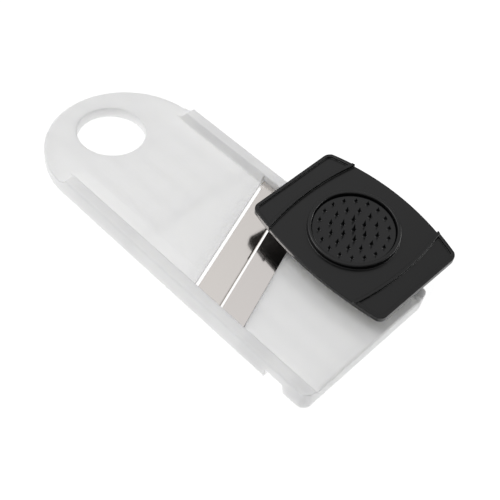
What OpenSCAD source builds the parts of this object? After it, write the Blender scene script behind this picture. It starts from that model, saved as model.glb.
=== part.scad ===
// Mandoline slicer: a flat plastic deck with side rails, a slanted stainless blade,
// a tilting throat plate that sets the slice thickness, and a spiked food holder.
// Millimetres. The hanging hole's axis is Z, the base is z = 0, the far end is +X.

/* [Deck] */
// Overall length of the deck
body_len = 250; // [220:1:300]
// Overall width of the deck, and twice the handle's radius
body_w = 105; // [95:1:120]
// Height of the side rails above the base
rail_h = 12.6; // [11.5:0.1:16]
// Width of a rail's flat top
rail_w = 7.3; // [6.5:0.1:9]
// Height of the handle plate and ramp above the base
ramp_h = 7.35; // [6.8:0.05:9]
// Thickness of the moulded skins
skin_t = 2.4; // [1.8:0.1:3]

/* [Hanging hole] */
// Radius of the hanging hole
hole_r = 21.6; // [15:0.1:25]
// Hole centre to the handle's end
hole_inset = 34.8; // [30:0.1:40]

/* [Blade] */
// Cutting edge's distance from the hanging hole, on the centre line
blade_x = 129.2; // [115:0.1:140]
// Slant of the blade across the deck, degrees
blade_slant = 20; // [10:1:30]
// Width of the blade
blade_w = 15.6; // [13:0.1:20]
// Thickness of the blade
blade_t = 1.0; // [0.8:0.1:1.4]
// Rise of the blade towards the landing, degrees
blade_rise = 2; // [0:0.5:4]
// Height of the cutting edge above the ramp, the thickest slice
slice_max = 2.05; // [1.5:0.05:3]

/* [Throat plate] */
// Thickness of the throat plate's sheet
sheet_t = 0.8; // [0.6:0.1:1]
// Width of the throat plate's flat top
throat_w = 15.7; // [13:0.1:18]
// See-through gap between the ramp and the throat plate
ramp_gap = 1.9; // [1.2:0.1:3]
// Radius of the hinge rod
hinge_r = 1.25; // [1:0.05:1.5]
// Offset of the cam lobe from the cam rod's axis
cam_e = 1.2; // [0.8:0.05:1.4]
// Radius of the cam lobe
cam_lobe_r = 1.95; // [1.7:0.05:2.1]

/* [Food holder] */
// Length of the holder's plate
plate_len = 100.6; // [90:0.1:120]
// Width of the holder's plate at its middle
plate_w = 76.4; // [65:0.1:90]
// Drop of the holder plate's ends below its middle
plate_arch = 2.4; // [0:0.1:4]
// Radius of the raised ring round the spikes
ring_r = 26.9; // [20:0.1:30]
// Height of the middle spike
spike_h = 4.8; // [3:0.1:9]
// Radius of the holder's grip at its flat face
knob_r = 18.4; // [15:0.1:22]
// Height of the spiked side above the grip's flat face
knob_d = 16.2; // [14:0.1:24]

/* [Fits] */
// Radial clearance of a turning rod
run_c = 0.05; // [0.02:0.01:0.1]
// Radial clearance of a pushed-in or screwed piece
push_c = 0.02; // [0.01:0.01:0.04]
// Gap beside a moving or loose panel
side_c = 0.2; // [0.1:0.05:0.5]

/* [Hidden] */
$fn = 64;
eps = 0.01;
r_end = body_w / 2;                    // handle end's radius
cx = r_end - hole_inset;               // centre of the handle end
rise_x = cx - 5;                       // where the rails start to rise
rise_r = 8.7;
chan_w = 8.5;                          // channel beside a rail, and its depth
chan_d = 0.7;
x_far = body_len - hole_inset;         // far end of the deck
y_in = r_end - rail_w;                 // inner face of a rail
foot_in = 2.6;                         // draft of the rail's inner face
land_h = rail_h - 2.6;                 // landing's top
edge_z = ramp_h + slice_max;           // cutting edge's height
x_lip = -1.8;                          // throat plate's bent-down lip, across the blade
x_flat = -2.7;                         // right end of the throat plate's flat
x_tl = x_flat - throat_w;              // left end of the throat plate
x_ramp = x_tl - ramp_gap;              // ramp's slanted edge
x_land = blade_w + 0.12;               // landing's slanted edge
hinge_x = x_tl + 3.0;                  // hinge rod, across the blade
hinge_z = 4.0;
barrel_r = 2.4;
cam_x = -6.0;                          // cam rod, across the blade
cam_z = ramp_h - sheet_t - 1.5;
cam_phase = -30;                       // lobe's direction at rest
cam_rod_r = 1.3;
journal_r = cam_e + cam_lobe_r + 0.05; // the lobe passes through this journal's bore
dial_r = 4.0;
pocket_r = 4.3;
sn = sin(blade_slant);
cs = cos(blade_slant);
function along(x, y) = (y - x * sn) / cs;   // distance along the slant that reaches side y
arc_n = 6;
function arc(c, r, a0, a1) =
    [for (i = [0:arc_n]) let (a = a0 + (a1 - a0) * i / arc_n) c + r * [cos(a), sin(a)]];
cam_n0 = along(cam_x, -y_in - 3.9);    // near end of the cam rod
cam_j0 = along(cam_x, y_in) + 1.25;    // start of the big journal
cam_j1 = cam_j0 + 3.8;                 // end of the big journal, pocket's floor
set_y = cam_j0 + 1.9;                  // set screw, along the slant
screw_x = 10.6;                        // blade screws, in the blade's frame
screw_ys = [-32, 0, 32];
bar_t = 2.4;
bar_x0 = 6.6;
bar_x1 = 14.6;
bridge_t = 2.6;
// food holder
plate_t = 2.5;
tilt = 7.2;                            // lean of the resting holder
turn = -2.4;                           // turn of the resting holder
rest_gap = 0.05;
rim_s = (rail_h - land_h) / sin(tilt); // grip's face from the rail's edge to its near rim
kc_y = y_in - rim_s * cos(tilt) + knob_r * cos(tilt);
kc_z = land_h + knob_r * sin(tilt) + rest_gap;
hold_x = 163.4;
hold_y = kc_y - knob_d * sin(tilt);
hold_z = kc_z + knob_d * cos(tilt);
side_bow = 5.6;                        // bow of the long sides
corner_r = 5.2;
bow_x = plate_len / 2 - corner_r;      // where the bow meets the corners
rib_a = plate_len / 2 - 13.0;          // ridge's distance from the middle
rib_bow = 3.7;
rib_y = 35;
rib_out = 0.25;                        // ridge's and bead's ends stand past the side
skirt_h = 0.7;                         // skirt below the plate's edge
rib_w = 1.8;
rib_h = 1.7;
ring_h = 2.8;
disc_r = ring_r - 2.6;
disc_top = 1.0;
spike_base = 1.2;                      // a spike's radius at its foot
spike_n = 10;                          // flat sides of a spike
// share of the disc's radius, how many, first one's angle
spike_rings = [[0, 1, 0], [0.29, 6, 15], [0.56, 12, 0], [0.83, 18, 10]];

module slanted() translate([blade_x, 0, 0]) rotate([0, 0, blade_slant]) children();
module blade_frame() slanted() translate([0, 0, edge_z]) rotate([0, -blade_rise, 0]) children();
// a section in (across, up) drawn along the slant from y0 to y1
module along_slant(y0, y1) slanted() translate([0, y1, 0]) rotate([90, 0, 0])
    linear_extrude(y1 - y0) children();
// a rod along the slant
module rod(x, z, r, y0, y1) slanted() translate([x, y0, z]) rotate([-90, 0, 0])
    cylinder(r = r, h = y1 - y0);
module between_rails(y) translate([0, -y, -5]) cube([400, 2 * y, 40]);
module in_holder() translate([hold_x, hold_y, hold_z]) rotate([tilt, 0, 0])
    rotate([0, 0, turn]) children();

// rail's section, right half: y across, z up
function rail_sec(z0) = concat([[y_in - foot_in - 0.6, z0], [y_in - foot_in, ramp_h - 1]],
    arc([y_in + 0.9, rail_h - 0.9], 0.9, 175, 90), arc([r_end - 1.5, rail_h - 1.5], 1.5, 90, 0),
    [[r_end, 0], [y_in - foot_in - 0.6, 0]]);
module along_x(x0, x1) translate([x0, 0, 0]) rotate([90, 0, 90]) linear_extrude(x1 - x0) children();
module both() { children(); mirror([0, 1, 0]) children(); }

// plan of the rails and landing with the far corners rounded
module far_plan(r) {
    intersection() {
        translate([rise_x, -r_end]) square([cx - rise_x + eps, body_w]);
        translate([cx, 0]) circle(r_end, $fn = 180);
    }
    translate([cx, -r_end]) square([x_far - cx - r, body_w]);
    translate([cx, -r_end + r]) square([x_far - cx, body_w - 2 * r]);
    for (s = [-1, 1]) translate([x_far - r, s * (r_end - r)]) circle(r);
}

// shallow channel beside each rail, fading in from the handle
module ramp_channels() intersection() {
    both() along_x(rise_x, blade_x + 40) polygon([[y_in - foot_in - chan_w, ramp_h + eps],
        [y_in - foot_in, ramp_h - chan_d], [y_in + 1, ramp_h - chan_d], [y_in + 1, ramp_h + 5],
        [y_in - foot_in - chan_w, ramp_h + 5]]);
    translate([0, r_end, 0]) rotate([90, 0, 0]) linear_extrude(body_w) polygon([[rise_x, ramp_h + 0.05],
        [rise_x + 12, ramp_h - chan_d - eps], [blade_x + 40, ramp_h - chan_d - eps],
        [blade_x + 40, ramp_h + 5], [rise_x, ramp_h + 5]]);
}

module deck_solid() {
    difference() {
        union() {
            // handle end, its top edge rounded
            translate([cx, 0, 0]) rotate([0, 0, 90]) rotate_extrude(angle = 180, $fn = 180) polygon(
                concat([[0, 0], [r_end, 0]], arc([r_end - 1.4, ramp_h - 1.4], 1.4, 0, 90), [[0, ramp_h]]));
            // ramp
            linear_extrude(ramp_h) polygon([[cx - eps, -y_in - 1], [cx - eps, y_in + 1],
                [blade_x + x_ramp / cs - (y_in + 1) * tan(blade_slant), y_in + 1],
                [blade_x + x_ramp / cs + (y_in + 1) * tan(blade_slant), -y_in - 1]]);
        }
        ramp_channels();
    }
    intersection() {
        linear_extrude(rail_h) far_plan(5.5);
        union() {
            difference() {
                both() along_x(rise_x, x_far) polygon(rail_sec(ramp_h - 1.4));
                // the rails rise from the handle plate in a hollow curve
                translate([rise_x, 0, ramp_h + rise_r]) rotate([90, 0, 0])
                    cylinder(r = rise_r, h = body_w + 2, center = true, $fn = 96);
                translate([rise_x - 20, -r_end - 1, ramp_h]) cube([20, body_w + 2, 20]);
            }
            // landing, its end edge softened
            intersection() {
                both() along_x(blade_x - 30, x_far) polygon([[0, 0], [0, land_h], [y_in - 5.5, land_h],
                    [y_in - 0.3, land_h - 0.8], [y_in + 1, land_h - 0.8], [y_in + 1, 0]]);
                slanted() translate([x_land, -90, -1]) cube([200, 180, 30]);
                translate([0, r_end, 0]) rotate([90, 0, 0]) linear_extrude(body_w)
                    polygon(concat([[0, 0], [x_far, 0]], arc([x_far - 1.5, land_h - 1.5], 1.5, 0, 90),
                        [[0, land_h]]));
            }
        }
    }
}

module ribs(z0, z1, x0, x1) for (y = [-30, -15, 0, 15, 30])
    translate([x0, y - 0.9, z0]) cube([x1 - x0, 1.8, z1 - z0]);

module underside() {
    // hollow of the handle and ramp
    difference() {
        union() {
            translate([cx, 0, -1]) cylinder(r = r_end - skin_t, h = ramp_h - skin_t + 1, $fn = 180);
            translate([cx, -r_end + skin_t, -1]) cube([80 - cx, body_w - 2 * skin_t, ramp_h - skin_t + 1]);
            intersection() {
                translate([79, -y_in + 0.8, -1]) cube([90, 2 * y_in - 1.6, ramp_h - skin_t + 1]);
                slanted() translate([x_ramp - 150, -90, -1]) cube([150 - 6, 180, 30]);
            }
            intersection() {
                translate([79, -y_in + 0.8, -1]) cube([90, 2 * y_in - 1.6, ramp_h - skin_t + 1]);
                slanted() translate([x_ramp - 4, -90, -1]) cube([5, 180, 30]);
            }
        }
        cylinder(r = hole_r + skin_t, h = 20, $fn = 128);
        difference() {
            ribs(1.0, 20, -40, 82);
            translate([0, 0, -1]) cylinder(r = hole_r, h = 30);
        }
        translate([78, -r_end, 1.0]) cube([1.8, body_w, 20]);
    }
    // hollows of the rails, clear of the bearings and the bowl notches
    both() for (s = [[rise_x + 19, 78], [blade_x + 39, x_far - 31], [x_far - 12, x_far - 3]])
        translate([s[0], y_in + 2, -1]) cube([s[1] - s[0], rail_w - 2 - skin_t, rail_h - skin_t + 1]);
    // hollow of the landing
    difference() {
        intersection() {
            translate([blade_x - 30, -y_in + 0.8, -1])
                cube([x_far - skin_t - blade_x + 30, 2 * y_in - 1.6, land_h - skin_t + 1]);
            slanted() translate([x_land + 2.3, -90, -2]) cube([200, 180, 40]);
        }
        ribs(1.0, 20, blade_x - 30, x_far);
    }
    // blade zone, open between the rails
    intersection() {
        between_rails(y_in);
        slanted() translate([x_ramp, -90, -2]) cube([x_land - x_ramp, 180, 40]);
    }
}

module body() color([0.93, 0.93, 0.92]) difference() {
    union() {
        difference() {
            deck_solid();
            underside();
        }
        // bridge under the blade
        intersection() {
            between_rails(y_in + 1);
            union() {
                blade_frame() translate([bar_x0 - 1.2, -90, -blade_t - bar_t - bridge_t])
                    cube([x_land - bar_x0 + 3.4, 180, bridge_t]);
                slanted() translate([x_land, -90, edge_z - blade_t - bar_t - bridge_t + 0.4])
                    cube([2.3, 180, land_h - skin_t + 0.1 - (edge_z - blade_t - bar_t - bridge_t + 0.4)]);
            }
        }
    }
    // hanging hole, its top edge rounded
    translate([0, 0, -1]) cylinder(r = hole_r, h = 30, $fn = 128);
    rotate_extrude($fn = 128) polygon(concat([[hole_r - 2, ramp_h + 2], [hole_r - 2, ramp_h - 0.8]],
        arc([hole_r + 0.8, ramp_h - 0.8], 0.8, 180, 90), [[hole_r + 0.8, ramp_h + 2]]));
    // bowl notches
    both() translate([0, r_end + 1, 0]) rotate([90, 0, 0]) linear_extrude(rail_w + 2.5)
        polygon(concat([[x_far - 28.5, -1], [x_far - 28.5, 6], [x_far - 17.2, 6]],
            arc([x_far - 17.2, 4.5], 1.5, 90, 10), [[x_far - 14.4, -1]]));
    // the ramp's edge is thinned from below
    intersection() {
        between_rails(y_in);
        along_slant(-90, 90) polygon([[x_ramp + 1, ramp_h - 0.6], [x_ramp - eps, ramp_h - 0.6],
            [x_ramp - 2, ramp_h - skin_t - 0.2], [x_ramp + 1, ramp_h - skin_t - 0.2]]);
    }
    // hinge rod's bore: through the far rail, blind in the near one
    rod(hinge_x, hinge_z, hinge_r + push_c, along(hinge_x, -y_in - 4), 90);
    // cam rod's bores, and the dial's pocket
    rod(cam_x, cam_z, cam_rod_r + run_c, cam_n0 - 0.3, 0);
    rod(cam_x, cam_z, journal_r + run_c, 20, cam_j1 + 1);
    rod(cam_x, cam_z, pocket_r, cam_j1, cam_j1 + 30);
    slanted() translate([cam_x, set_y, -1]) cylinder(r = 1.27, h = 2.65);
    slanted() translate([cam_x, set_y, 0]) cylinder(r = 0.85, h = 3);
    // blade screws' holes
    blade_frame() for (y = screw_ys) translate([screw_x, y, -12]) cylinder(r = 1.7, h = 12);
}

module blade() color([0.78, 0.78, 0.76]) intersection() {
    between_rails(y_in - side_c);
    blade_frame() translate([0, 90, 0]) rotate([90, 0, 0]) linear_extrude(180)
        polygon([[0, -0.1], [2.4, -blade_t], [blade_w, -blade_t], [blade_w, 0], [0, 0]]);
}

module blade_bar() color([0.6, 0.6, 0.6]) difference() {
    intersection() {
        between_rails(y_in - 1);
        blade_frame() translate([bar_x0, -90, -blade_t - bar_t])
            cube([bar_x1 - bar_x0, 180, bar_t]);
    }
    blade_frame() for (y = screw_ys) translate([screw_x, y, -12])
        cylinder(r = 1.45 + push_c, h = 12 - blade_t);
}

module blade_screws() color([0.7, 0.7, 0.7]) blade_frame() for (y = screw_ys)
    translate([screw_x, y, -blade_t - bar_t - bridge_t]) difference() {
        union() {
            cylinder(r = 1.45, h = bar_t + bridge_t - 0.15);
            translate([0, 0, -1.5]) cylinder(r = 2.7, h = 1.5);
        }
        translate([-4, -0.35, -2.5]) cube([8, 0.7, 1.6]);
    }

module throat_plate() color([0.75, 0.75, 0.73]) intersection() {
    between_rails(y_in - side_c);
    union() {
        along_slant(-90, 90) polygon([[x_tl, ramp_h - 2.05], [x_tl, ramp_h - 0.3], [x_tl + 0.3, ramp_h],
            [x_flat, ramp_h], [x_flat + 0.5, ramp_h - 0.15], [x_lip - 0.1, ramp_h - 0.45],
            [x_lip, ramp_h - 0.7], [x_lip, ramp_h - 1.7], [x_lip - 0.7, ramp_h - 1.7],
            [x_lip - 0.7, ramp_h - 1.0], [x_flat - 0.2, ramp_h - sheet_t],
            [x_tl + sheet_t, ramp_h - sheet_t], [x_tl + sheet_t, ramp_h - 2.05]]);
        // ear over the gap at the far rail
        slanted() translate([x_ramp + 0.6, along(x_tl, y_in) - 5.5, ramp_h - sheet_t])
            cube([ramp_gap, 20, sheet_t]);
    }
}

module throat_carrier() color([0.9, 0.9, 0.9]) difference() {
    intersection() {
        between_rails(y_in - 2 * side_c);
        union() {
            slanted() translate([x_tl + sheet_t, -90, ramp_h - 2.15])
                cube([8.2, 180, 2.15 - sheet_t]);
            for (s = [[-90, -32], [-24, -4], [4, 24], [32, 90]])
                rod(hinge_x, hinge_z, barrel_r, s[0], s[1]);
        }
    }
    rod(hinge_x, hinge_z, hinge_r + run_c, -90, 90);
}

module hinge_rod() color([0.7, 0.7, 0.7])
    rod(hinge_x, hinge_z, hinge_r, along(hinge_x, -y_in - 3.8), along(hinge_x, r_end - 0.5));

module cam_rod() color([0.85, 0.85, 0.85]) difference() {
    union() {
        rod(cam_x, cam_z, cam_rod_r, cam_n0, cam_j0 + 0.2);
        rod(cam_x + cam_e * cos(cam_phase), cam_z + cam_e * sin(cam_phase), cam_lobe_r,
            along(cam_x, -y_in) + 3, along(cam_x, y_in) - 3);
        rod(cam_x, cam_z, journal_r, cam_j0, set_y - 0.8);
        rod(cam_x, cam_z, journal_r - 0.7, cam_j0 + 0.1, cam_j1 - 0.2);
        rod(cam_x, cam_z, journal_r, set_y + 0.8, cam_j1);
        slanted() translate([cam_x - 1.5, cam_j1 - 0.1, cam_z - 1.5]) cube([3, 2.5, 3]);
    }
    rod(cam_x, cam_z, 0.95 + push_c, cam_j1 - 2, cam_j1 + 9);
}

module thickness_dial() color([0.9, 0.9, 0.9]) difference() {
    rod(cam_x, cam_z, dial_r, cam_j1 + 0.2, cam_j1 + 2.6);
    slanted() translate([cam_x - 1.52, cam_j1, cam_z - 1.52]) cube([3.04, 9, 3.04]);
    for (a = [0:30:330]) slanted()
        translate([cam_x + (dial_r + 0.4) * cos(a), cam_j1 + 1.2, cam_z + (dial_r + 0.4) * sin(a)])
            rotate([-90, 0, 0]) cylinder(r = 0.7, h = 9, $fn = 24);
}

module dial_screw() color([0.7, 0.7, 0.7]) difference() {
    union() {
        rod(cam_x, cam_z, 0.95, cam_j1 - 1.8, cam_j1 + 2.7);
        rod(cam_x, cam_z, 2.5, cam_j1 + 2.6, cam_j1 + 3.7);
    }
    slanted() translate([cam_x - 3, cam_j1 + 3.1, cam_z - 0.3]) cube([6, 2, 0.6]);
}

module cam_set_screw() color([0.6, 0.6, 0.6]) slanted() translate([cam_x, set_y, 0]) difference() {
    union() {
        translate([0, 0, 0.2]) cylinder(r = 1.25, h = 1.4);
        translate([0, 0, 1]) cylinder(r = 0.7, h = cam_z - journal_r + 0.55 - 1);
    }
    translate([-2, -0.2, 0]) cube([4, 0.4, 0.7]);
}

// outline of the holder's plate, moved in by d
module plate_plan(d) {
    l = plate_len / 2 - d;
    r_bow = (bow_x * bow_x + side_bow * side_bow) / (2 * side_bow) - d;
    e_y = plate_w / 2 - side_bow - d;
    r = corner_r - d;
    intersection() {
        union() {
            translate([-l, -e_y + r]) square([2 * l, 2 * (e_y - r)]);
            translate([-l + r, -plate_w]) square([2 * (l - r), 2 * plate_w]);
            for (a = [-1, 1]) for (b = [-1, 1]) translate([a * (l - r), b * (e_y - r)]) circle(r, $fn = 48);
        }
        translate([0, plate_w / 2 - d - r_bow]) circle(r_bow, $fn = 720);
        translate([0, -plate_w / 2 + d + r_bow]) circle(r_bow, $fn = 720);
    }
}

module ridge_band(w) {
    r = (rib_y * rib_y + rib_bow * rib_bow) / (2 * rib_bow);
    for (s = [-1, 1]) intersection() {
        difference() {
            translate([s * (rib_a - r), 0]) circle(r + w / 2, $fn = 360);
            translate([s * (rib_a - r), 0]) circle(r - w / 2, $fn = 360);
        }
        translate([s * rib_a - 20, -60]) square([40, 120]);
    }
}

module end_zone() {
    r = (rib_y * rib_y + rib_bow * rib_bow) / (2 * rib_bow);
    for (s = [-1, 1]) difference() {
        translate([s * plate_len / 2 - 25, -60]) square([50, 120]);
        translate([s * (rib_a - r), 0]) circle(r, $fn = 360);
    }
}

// slab of the holder's plate between two heights above its arched top
module arched(z0, z1) {
    n = 14;
    l = plate_len / 2 + 2;
    function z(x) = -plate_arch * pow(2 * x / plate_len, 2);
    translate([0, 60, 0]) rotate([90, 0, 0]) linear_extrude(120) polygon(concat(
        [for (i = [0:n]) let (x = -l + 2 * l * i / n) [x, z(x) + z0]],
        [for (i = [n:-1:0]) let (x = -l + 2 * l * i / n) [x, z(x) + z1]]));
}

module holder_plate() color([0.12, 0.12, 0.12]) in_holder() difference() {
    union() {
        intersection() {
            arched(-plate_t, 0);
            translate([0, 0, -20]) linear_extrude(40) plate_plan(0);
        }
        // skirt under the edge
        intersection() {
            arched(-plate_t - skirt_h, -plate_t + 0.1);
            translate([0, 0, -20]) linear_extrude(40) difference() {
                plate_plan(0.3);
                plate_plan(2.1);
            }
        }
        // ridges and the bead round each end
        intersection() {
            arched(-plate_t, rib_h);
            translate([0, 0, -20]) linear_extrude(40) intersection() {
                plate_plan(-rib_out);
                ridge_band(rib_w);
            }
        }
        intersection() {
            arched(-plate_t, 1.1);
            translate([0, 0, -20]) linear_extrude(40) intersection() {
                difference() {
                    plate_plan(-rib_out);
                    plate_plan(1.7);
                }
                end_zone();
            }
        }
        // ring round the spikes
        translate([0, 0, -1.2]) rotate_extrude($fn = 120) polygon(concat([[disc_r + 0.1, 0]],
            arc([disc_r + 0.9, ring_h + 0.5], 0.8, 180, 90), arc([ring_r - 0.9, ring_h + 0.3], 0.9, 80, 20),
            [[ring_r, 0]]));
        // boss for the grip
        translate([0, 0, -plate_t - 3]) cylinder(r = 4, h = 3.1);
    }
    translate([0, 0, -0.9]) cylinder(r = disc_r + 0.1, h = 8, $fn = 120);
    translate([0, 0, -plate_t - 6]) cylinder(r = 1.7 + push_c, h = 5.2 + plate_t);
    // flat seat for the grip
    translate([0, 0, -plate_t - 2]) difference() {
        cylinder(r = knob_r - 5, h = 2);
        translate([0, 0, -1]) cylinder(r = 4, h = 4);
    }
}

module spike_disc() color([0.08, 0.08, 0.08]) in_holder() {
    translate([0, 0, -0.88]) cylinder(r = disc_r, h = disc_top + 0.88, $fn = 120);
    for (g = spike_rings) for (i = [0:g[1] - 1]) rotate([0, 0, g[2] + i * 360 / g[1]])
        translate([g[0] * disc_r, 0, disc_top - 0.1])
            linear_extrude(spike_h * (1 - 0.45 * g[0]), scale = 0.16)
                circle(spike_base * (1 - 0.25 * g[0]), $fn = spike_n);
}

module holder_knob() color([0.1, 0.1, 0.1]) in_holder() difference() {
    translate([0, 0, -knob_d]) rotate_extrude($fn = 96) polygon(concat([[0, 0], [knob_r - 1, 0]],
        arc([knob_r - 1, 1], 1, -90, 0), [[knob_r, 3.2], [knob_r - 3.4, 6.2], [knob_r - 6, 10]],
        [[knob_r - 5.6, knob_d - plate_t - 0.02], [0, knob_d - plate_t - 0.02]]));
    // hollow, closed by the cap
    translate([0, 0, -knob_d - 1]) cylinder(r = knob_r - 3.4, h = 1 + 3.4);
    translate([0, 0, -knob_d - 1]) cylinder(r = 9, h = 1 + 7);
    translate([0, 0, -plate_t - 3.2]) cylinder(r = 4.1, h = 5);
    translate([0, 0, -knob_d]) cylinder(r = 1.95, h = 14);
}

module knob_cap() color([0.1, 0.1, 0.1]) in_holder()
    translate([0, 0, -knob_d + 0.15]) cylinder(r = knob_r - 3.4 - push_c, h = 2.4, $fn = 96);

module knob_screw() color([0.7, 0.7, 0.7]) in_holder() difference() {
    union() {
        translate([0, 0, -knob_d + 5.0]) cylinder(r = 3.4, h = 2);
        translate([0, 0, -knob_d + 6]) cylinder(r = 1.7, h = knob_d - 6 - plate_t + 1.4);
    }
    translate([-5, -0.5, -knob_d + 4]) cube([10, 1, 2]);
}

body();
blade();
blade_bar();
blade_screws();
throat_plate();
throat_carrier();
hinge_rod();
cam_rod();
thickness_dial();
dial_screw();
cam_set_screw();
holder_plate();
spike_disc();
holder_knob();
knob_cap();
knob_screw();
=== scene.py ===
import math
import bpy
import bmesh
import numpy as np
from mathutils import Matrix, Vector


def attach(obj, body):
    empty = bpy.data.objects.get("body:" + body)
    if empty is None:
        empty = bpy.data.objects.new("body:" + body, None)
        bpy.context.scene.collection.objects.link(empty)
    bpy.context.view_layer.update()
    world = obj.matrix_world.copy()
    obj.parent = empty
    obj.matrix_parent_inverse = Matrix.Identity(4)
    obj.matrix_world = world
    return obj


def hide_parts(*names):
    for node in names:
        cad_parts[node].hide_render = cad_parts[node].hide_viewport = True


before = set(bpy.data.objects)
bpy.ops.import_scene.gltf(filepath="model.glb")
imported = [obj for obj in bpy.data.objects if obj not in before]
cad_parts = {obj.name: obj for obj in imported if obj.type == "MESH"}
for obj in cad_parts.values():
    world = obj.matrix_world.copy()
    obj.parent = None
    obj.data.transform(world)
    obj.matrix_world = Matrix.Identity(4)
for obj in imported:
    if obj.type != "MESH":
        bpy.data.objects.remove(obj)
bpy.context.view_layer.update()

mm = 0.001

# camera
cameraLook = {
    "place": (0.3134, -0.2631, 0.3856),
    "right": (0.70842, 0.69409, 0.12798),
    "up": (-0.59578, 0.49088, 0.63567),
    "back": (0.37839, -0.52657, 0.76128),
    "lens": 61.92, "sensor": 36, "nearest": 0.01,
}


def aim(place, right, up, back):
    # a matrix whose columns are the camera's own axes and its place
    return Matrix([[right[i], up[i], back[i], place[i]] for i in range(3)] + [[0, 0, 0, 1]])


def makeCamera(s):
    camera = bpy.data.objects.new("camera", bpy.data.cameras.new("camera"))
    bpy.context.collection.objects.link(camera)
    camera.data.lens = s["lens"]
    camera.data.sensor_width = s["sensor"]
    camera.data.clip_start = s["nearest"]
    camera.matrix_world = aim(s["place"], s["right"], s["up"], s["back"])
    bpy.context.scene.camera = camera


makeCamera(cameraLook)
print("camera placed")


# small helpers
def colour(hexText):
    # sRGB hex to linear red, green, blue, alpha
    parts = [int(hexText[i:i + 2], 16) / 255 for i in (0, 2, 4)]
    return tuple(p / 12.92 if p <= 0.04045 else ((p + 0.055) / 1.055) ** 2.4 for p in parts) + (1.0,)


def scaled(linear, share):
    # a linear colour made dimmer or brighter
    return tuple(c * share for c in linear[:3]) + (1,)


def addNode(tree, kind, links=None, **settings):
    # one node: settings named like sockets set their values, others set the node's own options
    node = tree.nodes.new(kind)
    for key, value in settings.items():
        if key in node.bl_rna.properties and key != "color":
            setattr(node, key, value)
        else:
            node.inputs[key.replace("_", " ")].default_value = value
    for key, source in (links or {}).items():
        tree.links.new(source, node.inputs[key])
    return node


def newMaterial(name, **settings):
    # a Principled material, with its values on the shader's own sockets
    material = bpy.data.materials.new(name)
    material.use_nodes = True
    tree = material.node_tree
    tree.nodes.clear()
    shader = addNode(tree, "ShaderNodeBsdfPrincipled", **settings)
    addNode(tree, "ShaderNodeOutputMaterial", {"Surface": shader.outputs[0]})
    coords = addNode(tree, "ShaderNodeTexCoord").outputs["Object"]
    return material, tree, shader, coords


def ramp(tree, source, stops):
    # a colour ramp between two (position, linear colour) stops
    node = addNode(tree, "ShaderNodeValToRGB", {"Fac": source})
    for i, (place, value) in enumerate(stops):
        element = node.color_ramp.elements[i]
        element.position, element.color = place, value
    return node.outputs["Color"]


# white mouldings
polypropyleneLook = {
    "roughness": 0.36, "roughFrom": 0.3, "roughTo": 0.42, "ior": 1.49,
    "sunk": 0.7, "sunkDepth": 0.006, "sunkTint": (1.0, 1.0, 0.95),  # light that sinks in, depth in m
    "cloudScale": 60, "dim": 0.985, "dimAt": 0.35, "fullAt": 0.65,
    "peelScale": 350, "bump": 0.05, "bumpDepth": 0.0002,
    "edge": 0.0012, "edgeSamples": 6,  # how wide an edge's highlight is rounded, m
}
rampRibs = {
    "pitch": 0.0033, "height": 0.5,
    "startAt": 0.0, "fullAt": 0.02,    # along the ramp, m
    "fadeFrom": 0.012, "fadeTo": 0.11,
    "sideFrom": 0.030, "sideTo": 0.038,  # out from the middle line, m
}


def ribWave(tree, coords, s):
    # very faint ribs along the ramp, fading out towards the blade: sin(2 pi y / pitch) times masks
    axes = addNode(tree, "ShaderNodeSeparateXYZ", {"Vector": coords}).outputs
    phase = addNode(tree, "ShaderNodeMath", {0: axes["Y"]}, operation="MULTIPLY")
    phase.inputs[1].default_value = 2 * math.pi / s["pitch"]
    wave = addNode(tree, "ShaderNodeMath", {0: phase.outputs[0]}, operation="SINE")
    along = addNode(tree, "ShaderNodeMapRange", {"Value": axes["X"]},
                    From_Min=s["fadeFrom"], From_Max=s["fadeTo"], To_Min=s["height"], To_Max=0.0)
    sides = addNode(tree, "ShaderNodeMath", {0: axes["Y"]}, operation="ABSOLUTE")
    inside = addNode(tree, "ShaderNodeMapRange", {"Value": sides.outputs[0]},
                     From_Min=s["sideFrom"], From_Max=s["sideTo"], To_Min=1.0, To_Max=0.0)
    past = addNode(tree, "ShaderNodeMapRange", {"Value": axes["X"]},
                   From_Min=s["startAt"], From_Max=s["fullAt"])
    for mask in (along, inside, past):
        wave = addNode(tree, "ShaderNodeMath", {0: wave.outputs[0], 1: mask.outputs[0]},
                       operation="MULTIPLY")
    return wave.outputs[0]


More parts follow.
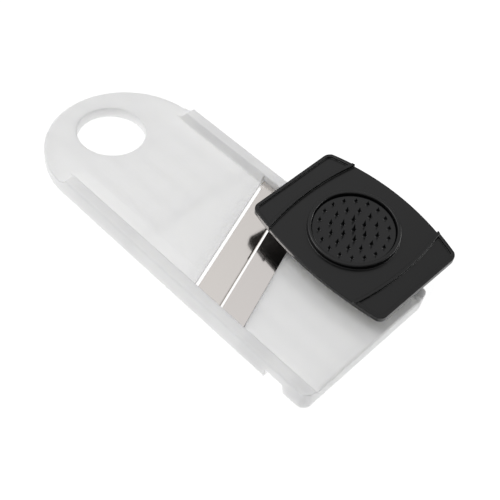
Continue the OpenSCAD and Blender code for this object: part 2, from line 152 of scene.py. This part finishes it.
def whitePolypropylene(name, tint, s, ribs=None):
    # injection-moulded polypropylene: milky white, satin, light sinks a little way in
    m, tree, shader, coords = newMaterial(
        name, Roughness=s["roughness"], IOR=s["ior"], Subsurface_Weight=s["sunk"],
        Subsurface_Scale=s["sunkDepth"], Subsurface_Radius=s["sunkTint"])
    cloud = addNode(tree, "ShaderNodeTexNoise", {"Vector": coords}, Scale=s["cloudScale"], Detail=3)
    base = colour(tint)
    tinted = ramp(tree, cloud.outputs["Fac"],
                  [(s["dimAt"], scaled(base, s["dim"])), (s["fullAt"], base)])
    tree.links.new(tinted, shader.inputs["Base Color"])
    rough = addNode(tree, "ShaderNodeMapRange", {"Value": cloud.outputs["Fac"]},
                    To_Min=s["roughFrom"], To_Max=s["roughTo"])
    tree.links.new(rough.outputs[0], shader.inputs["Roughness"])
    peel = addNode(tree, "ShaderNodeTexNoise", {"Vector": coords}, Scale=s["peelScale"], Detail=2)
    height = peel.outputs["Fac"]
    if ribs:
        wave = ribWave(tree, coords, ribs)
        height = addNode(tree, "ShaderNodeMath", {0: wave, 1: height}, operation="ADD").outputs[0]
    soft = addNode(tree, "ShaderNodeBevel", samples=s["edgeSamples"], Radius=s["edge"])
    bump = addNode(tree, "ShaderNodeBump", {"Height": height, "Normal": soft.outputs[0]},
                   Strength=s["bump"], Distance=s["bumpDepth"])
    tree.links.new(bump.outputs[0], shader.inputs["Normal"])
    return m


# steels
groundLook = {
    "turn": 20,                    # the strip's slant, degrees
    "lineScale": (1500, 12, 300),  # fine across the strip, long along it
    "duller": 1.4, "brighter": 0.7, "bump": 0.06, "bumpDepth": 0.0001,
}
turnedLook = {
    "roughness": 0.32, "roughFrom": 0.22, "roughTo": 0.45,
    "wearScale": 700, "bump": 0.05, "bumpDepth": 0.0001,
}


def groundSteel(name, tint, roughness, s):
    # cold-rolled stainless strip, ground along its length: near-mirror with fine straight lines
    m, tree, shader, coords = newMaterial(
        name, Base_Color=colour(tint), Metallic=1.0, Roughness=roughness)
    turned = addNode(tree, "ShaderNodeMapping", {"Vector": coords})
    turned.inputs["Rotation"].default_value = (0, 0, -math.radians(s["turn"]))
    turned.inputs["Scale"].default_value = s["lineScale"]
    lines = addNode(tree, "ShaderNodeTexNoise", {"Vector": turned.outputs[0]}, Scale=1.0, Detail=4)
    rough = addNode(tree, "ShaderNodeMapRange", {"Value": lines.outputs["Fac"]},
                    To_Min=roughness * s["brighter"], To_Max=roughness * s["duller"])
    tree.links.new(rough.outputs[0], shader.inputs["Roughness"])
    bump = addNode(tree, "ShaderNodeBump", {"Height": lines.outputs["Fac"]},
                   Strength=s["bump"], Distance=s["bumpDepth"])
    tree.links.new(bump.outputs[0], shader.inputs["Normal"])
    return m


def turnedSteel(name, tint, s):
    # drawn or turned bright steel, a little dull from handling
    m, tree, shader, coords = newMaterial(
        name, Base_Color=colour(tint), Metallic=1.0, Roughness=s["roughness"])
    wear = addNode(tree, "ShaderNodeTexNoise", {"Vector": coords}, Scale=s["wearScale"], Detail=4)
    rough = addNode(tree, "ShaderNodeMapRange", {"Value": wear.outputs["Fac"]},
                    To_Min=s["roughFrom"], To_Max=s["roughTo"])
    tree.links.new(rough.outputs[0], shader.inputs["Roughness"])
    bump = addNode(tree, "ShaderNodeBump", {"Height": wear.outputs["Fac"]},
                   Strength=s["bump"], Distance=s["bumpDepth"])
    tree.links.new(bump.outputs[0], shader.inputs["Normal"])
    return m


# black mouldings
absLook = {
    "ior": 1.54, "specular": 0.35,
    "cloudScale": 90, "lift": 1.25, "baseAt": 0.3, "liftAt": 0.7,
    "duller": 1.12, "brighter": 0.88, "grainScale": 1600, "grainDepth": 0.0001,
    "edge": 0.0009, "edgeSamples": 8,  # how wide an edge's highlight is rounded, m
}


def blackAbs(name, tint, roughness, grain, s):
    # black ABS from a spark-eroded mould: satin, with a very fine grain that breaks up highlights
    m, tree, shader, coords = newMaterial(
        name, Roughness=roughness, IOR=s["ior"], Specular_IOR_Level=s["specular"])
    cloud = addNode(tree, "ShaderNodeTexNoise", {"Vector": coords}, Scale=s["cloudScale"], Detail=4)
    base = colour(tint)
    tinted = ramp(tree, cloud.outputs["Fac"],
                  [(s["baseAt"], base), (s["liftAt"], scaled(base, s["lift"]))])
    tree.links.new(tinted, shader.inputs["Base Color"])
    fine = addNode(tree, "ShaderNodeTexNoise", {"Vector": coords}, Scale=s["grainScale"], Detail=2)
    rough = addNode(tree, "ShaderNodeMapRange", {"Value": cloud.outputs["Fac"]},
                    To_Min=roughness * s["brighter"], To_Max=roughness * s["duller"])
    tree.links.new(rough.outputs[0], shader.inputs["Roughness"])
    soft = addNode(tree, "ShaderNodeBevel", samples=s["edgeSamples"], Radius=s["edge"])
    bump = addNode(tree, "ShaderNodeBump", {"Height": fine.outputs["Fac"], "Normal": soft.outputs[0]},
                   Strength=grain, Distance=s["grainDepth"])
    tree.links.new(bump.outputs[0], shader.inputs["Normal"])
    return m


deckPlastic = whitePolypropylene("white polypropylene", "f5f5f5", polypropyleneLook, rampRibs)
carrierPlastic = whitePolypropylene("white polypropylene carrier", "ececec", polypropyleneLook)
bladeSteel = groundSteel("ground stainless blade", "e0dbd8", 0.1, groundLook)
throatSteel = groundSteel("rolled stainless throat", "e4dfdb", 0.12, groundLook)
barSteel = turnedSteel("stainless bar", "b9b7b3", turnedLook)
screwSteel = turnedSteel("bright screw steel", "c4c2be", turnedLook)
holderBlack = blackAbs("satin black ABS", "050506", 0.30, 0.12, absLook)
discBlack = blackAbs("polished black ABS", "0a0a0c", 0.2, 0.02, absLook)
print("materials made")

# softened mouldings: the edge's radius in mm and its steps
deck = {"width": 0.35, "segments": 2}
holderPlate = {"width": 0.6, "segments": 4}
holderGrip = {"width": 0.4, "segments": 2}
joining = {
    "merge": 2e-6, "flat": 0.6,       # doubles in m, faces within so many degrees rejoined
    "corner": 28, "sharp": 40,        # edges rounded and shaded sharp above, degrees
    "evenness": 100,
}


def softened(node, name, body, material, s):
    # the CAD node's solid with flat faces rejoined and its edges rounded to a mould's small radius
    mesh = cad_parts[node].data.copy()
    mesh.name = name
    shape = bmesh.new()
    shape.from_mesh(mesh)
    bmesh.ops.remove_doubles(shape, verts=shape.verts, dist=joining["merge"])
    bmesh.ops.dissolve_limit(shape, angle_limit=math.radians(joining["flat"]),
                             verts=shape.verts, edges=shape.edges)
    shape.to_mesh(mesh)
    shape.free()
    mesh.materials.clear()
    mesh.materials.append(material)
    piece = bpy.data.objects.new(name, mesh)
    bpy.context.collection.objects.link(piece)
    rounded = piece.modifiers.new("mould radius", "BEVEL")
    rounded.width = s["width"] * mm
    rounded.segments = s["segments"]
    rounded.limit_method = "ANGLE"
    rounded.angle_limit = math.radians(joining["corner"])
    even = piece.modifiers.new("even shading", "WEIGHTED_NORMAL")
    even.weight = joining["evenness"]
    even.keep_sharp = True
    mesh.polygons.foreach_set("use_smooth", np.ones(len(mesh.polygons), dtype=bool))
    mesh.set_sharp_from_angle(angle=math.radians(joining["sharp"]))
    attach(piece, body)
    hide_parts(node)


softened("body", "deck", "deck", deckPlastic, deck)
softened("holder_plate", "holderPlate", "holder", holderBlack, holderPlate)
softened("holder_knob", "holderGrip", "holder", holderBlack, holderGrip)
print("mouldings made")

# spiked disc, in mm but for its centre
spikes = {
    "centre": (0.1634, 0.040843, 0.028428),
    "tilt": 7.2, "turn": -2.4,          # how the holder leans and turns, degrees
    "edge": 24.3, "under": -0.88, "top": 1.0,
    "chamfer": 0.3,                     # round the disc's underside
    "lip": ((0, 0.45), (0.12, 0.18)),   # the top edge's rounding: in from the edge, down from the top
    "dish": 1.2,                        # how far the disc's middle sinks
    "dishEdge": 0.5, "dishMiddle": 0.4, "dishRows": 40, "discAround": 160,
    "base": 1.1, "tip": 0.12,           # a spike's radius at its foot and tip
    "slimmer": 0.25, "taper": 1.1,      # share of the foot lost towards the edge, bend of the side
    "fillet": 0.2, "filletFade": 0.5,
    "height": 4.75, "shorter": 0.45,    # middle spike, and the share lost towards the edge
    "rooted": 0.25, "lowered": 0.1, "capDepth": 0.12,
    "cap": ((0.7, 0.08), (0.2, 0.11)),  # the tip's rounding: share of its radius, rise
    "rings": ((0.0, 1, 0), (0.29, 6, 15), (0.56, 12, 0), (0.83, 18, 10)),  # share, count, first angle
    "around": 20, "up": 14, "sharp": 50,
}


def gridFaces(rows, around, start):
    # quads between closed loops of points
    i, j = np.meshgrid(np.arange(rows - 1), np.arange(around), indexing="ij")
    k = (j + 1) % around
    low, high = i * around, (i + 1) * around
    return np.stack([low + j, low + k, high + k, high + j], -1).reshape(-1, 4) + start


def holderFrame(points, s):
    # from the holder's own flat frame to its leaning place on the deck
    turn, tilt = math.radians(s["turn"]), math.radians(s["tilt"])
    flat = np.array([[math.cos(turn), -math.sin(turn), 0],
                     [math.sin(turn), math.cos(turn), 0],
                     [0, 0, 1]])
    lean = np.array([[1, 0, 0],
                     [0, math.cos(tilt), -math.sin(tilt)],
                     [0, math.sin(tilt), math.cos(tilt)]])
    return points @ flat.T @ lean.T * mm + np.array(s["centre"])


def buildMesh(name, points, quads, ends, material):
    # points, quads and closing polygons into one smooth mesh object
    mesh = bpy.data.meshes.new(name)
    mesh.from_pydata(points.tolist(), [], quads.tolist() + [list(e) for e in ends])
    mesh.materials.append(material)
    mesh.validate()
    mesh.polygons.foreach_set("use_smooth", np.ones(len(mesh.polygons), dtype=bool))
    piece = bpy.data.objects.new(name, mesh)
    bpy.context.collection.objects.link(piece)
    return piece


def lathe(rows, around):
    # (radius, height) rows turned round the holder's axis into loops of points
    turn = np.linspace(0, 2 * math.pi, around, endpoint=False)
    rows = np.array(rows, float)
    x = rows[:, :1] * np.cos(turn)
    y = rows[:, :1] * np.sin(turn)
    z = np.repeat(rows[:, 1:2], around, axis=1)
    return np.stack([x, y, z], -1).reshape(-1, 3)


def closedLathe(rows, around, start=0):
    # points, side quads and the two closing polygons of a turned shell, its rows going up or inwards
    points = lathe(rows, around)
    last = start + (len(rows) - 1) * around
    ends = [list(range(start + around - 1, start - 1, -1)), list(range(last, last + around))]
    return points, gridFaces(len(rows), around, start), ends


def discRows(s):
    # up the disc's side, then inwards over its dish: z = top - dish * (1 - (r / edge)^2)
    edge, top = s["edge"], s["top"]
    rows = [(edge - s["chamfer"], s["under"]), (edge, s["under"] + s["chamfer"])]
    rows += [(edge - inset, top - drop) for inset, drop in s["lip"]]
    reach = np.linspace(edge - s["dishEdge"], s["dishMiddle"], s["dishRows"])
    return rows + [(r, top - s["dish"] * (1 - (r / edge) ** 2)) for r in reach]


def spikeRows(s, share):
    # up a spike at this share of the disc's radius:
    # r = tip + (base - tip) * (1 - t)^taper + fillet * exp(-t * height / fade)
    height = s["height"] * (1 - s["shorter"] * share)
    base = s["base"] * (1 - s["slimmer"] * share)
    floor = s["top"] - s["dish"] * (1 - share ** 2) - s["rooted"]
    t = np.linspace(0, 1, s["up"])
    fillet = s["fillet"] * np.exp(-t * height / s["filletFade"])
    radius = s["tip"] + (base - s["tip"]) * (1 - t) ** s["taper"] + fillet
    rows = list(zip(radius, floor + t * (s["top"] - s["lowered"] + height - s["capDepth"] - floor)))
    return rows + [(s["tip"] * part, rows[-1][1] + rise) for part, rise in s["cap"]]


def makeSpikes(s, material):
    # a shallow dished disc under rings of thin tapered spikes
    points, quads, ends = closedLathe(discRows(s), s["discAround"])
    allPoints, allQuads = [points], [quads]
    for share, count, first in s["rings"]:
        out = share * s["edge"]
        for i in range(count):
            angle = math.radians(first + 360 * i / count)
            start = sum(len(p) for p in allPoints)
            spike, sides, caps = closedLathe(spikeRows(s, share), s["around"], start)
            allPoints.append(spike + np.array([out * math.cos(angle), out * math.sin(angle), 0]))
            allQuads.append(sides)
            ends += caps
    points = holderFrame(np.concatenate(allPoints), s)
    piece = buildMesh("spikeDisc", points, np.concatenate(allQuads), ends, material)
    piece.data.set_sharp_from_angle(angle=math.radians(s["sharp"]))
    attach(piece, "holder")
    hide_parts("spike_disc")


makeSpikes(spikes, discBlack)
print("spiked disc made")


# CAD nodes that stay
def dress(node, material):
    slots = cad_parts[node].data.materials
    if not slots:
        slots.append(material)
    for i in range(len(slots)):
        slots[i] = material


for node, material in (
        ("blade", bladeSteel), ("throat_plate", throatSteel), ("blade_bar", barSteel),
        ("hinge_rod", barSteel), ("blade_screws", screwSteel), ("dial_screw", screwSteel),
        ("cam_set_screw", screwSteel), ("knob_screw", screwSteel), ("throat_carrier", carrierPlastic),
        ("cam_rod", carrierPlastic), ("thickness_dial", carrierPlastic), ("knob_cap", holderBlack)):
    dress(node, material)
print("steel and hidden parts dressed")

# studio
studio = {
    "floorSize": 24.0, "floorTint": "808080", "floorRoughness": 0.6, "glow": 0.9,
    "lean": (-0.33, 0.10, 0.94), "skyFrom": (0.10, 1.0), "skyLevel": (0.05, 1.12),
    "target": (0.1, 0.0, 0.0),
    "keyPlace": (-0.5, -0.25, 1.0), "keySize": (0.5, 0.5), "keyPower": 3.2,
    "rimPlace": (1.25, 1.4, 0.5), "rimSize": (1.8, 0.5), "rimPower": 17.0,
    "panelPlace": (0.9, -1.5, 0.45), "panelSize": (2.6, 1.0), "panelPower": 3.0,
}


def makeFloor(s):
    half = s["floorSize"] / 2
    corners = [(-half, -half, 0), (half, -half, 0), (half, half, 0), (-half, half, 0)]
    mesh = bpy.data.meshes.new("floor")
    mesh.from_pydata(corners, [], [(0, 1, 2, 3)])
    floor = bpy.data.objects.new("floor", mesh)
    bpy.context.collection.objects.link(floor)
    lightTable = newMaterial(
        "white light table", Roughness=s["floorRoughness"], Base_Color=colour(s["floorTint"]),
        Emission_Strength=s["glow"], Emission_Color=(1, 1, 1, 1))[0]
    mesh.materials.append(lightTable)


def makeSky(s):
    # a soft tent: brighter overhead and towards the handle, dimmer at the far end
    world = bpy.data.worlds.new("studio")
    bpy.context.scene.world = world
    world.use_nodes = True
    tree = world.node_tree
    tree.nodes.clear()
    direction = addNode(tree, "ShaderNodeTexCoord").outputs["Generated"]
    lean = addNode(tree, "ShaderNodeVectorMath", {0: direction}, operation="DOT_PRODUCT")
    lean.inputs[1].default_value = s["lean"]
    level = addNode(tree, "ShaderNodeMapRange", {"Value": lean.outputs["Value"]},
                    From_Min=s["skyFrom"][0], From_Max=s["skyFrom"][1],
                    To_Min=s["skyLevel"][0], To_Max=s["skyLevel"][1])
    glow = addNode(tree, "ShaderNodeBackground", {"Strength": level.outputs[0]})
    addNode(tree, "ShaderNodeOutputWorld", {"Surface": glow.outputs[0]})


def areaLight(name, s):
    light = bpy.data.objects.new(name, bpy.data.lights.new(name, "AREA"))
    bpy.context.collection.objects.link(light)
    light.data.shape = "RECTANGLE"
    light.data.size, light.data.size_y = s[name + "Size"]
    light.data.energy = s[name + "Power"]
    light.location = s[name + "Place"]
    towards = Vector(s["target"]) - Vector(s[name + "Place"])
    light.rotation_euler = towards.to_track_quat("-Z", "Y").to_euler()
    return light


makeFloor(studio)
makeSky(studio)
areaLight("key", studio)
# these two light no matt surface: a low strip beyond the far side draws light lines on the black
# edges, and a dim panel on the near side brightens the steel when it is seen from behind
for name in ("rim", "panel"):
    areaLight(name, studio).visible_diffuse = False
bpy.context.scene.view_settings.view_transform = "Standard"
print("studio lit")
